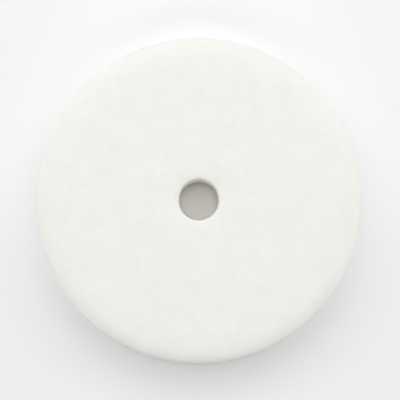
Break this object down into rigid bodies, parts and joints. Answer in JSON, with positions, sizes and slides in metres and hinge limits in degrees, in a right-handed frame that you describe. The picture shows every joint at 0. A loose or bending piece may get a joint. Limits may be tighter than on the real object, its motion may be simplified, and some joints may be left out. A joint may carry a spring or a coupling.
{
  "type": "felt polishing wheel",
  "caption": "Thick round wheel of glued felt plies, with flat faces that fall away at a rounded rim and a plain arbor hole, for polishing on a turning shaft.",
  "frame": {"origin": "centre of the arbor bore, on the back face that the wheel lies on", "axes": "+Z along the bore, from the back face towards the front face; the wheel is round, so X and Y point anywhere across it"},
  "size_m": [0.1524, 0.1524, 0.0254],
  "materials": {
    "felt": null,
    "bond_cement": null
  },
  "bodies": {
    "root": {"felt_ply_back": "felt", "felt_ply_inner_back": "felt", "felt_ply_inner_front": "felt", "felt_ply_front": "felt", "bond_film_back": "bond_cement", "bond_film_middle": "bond_cement", "bond_film_front": "bond_cement"}
  },
  "joints": []
}
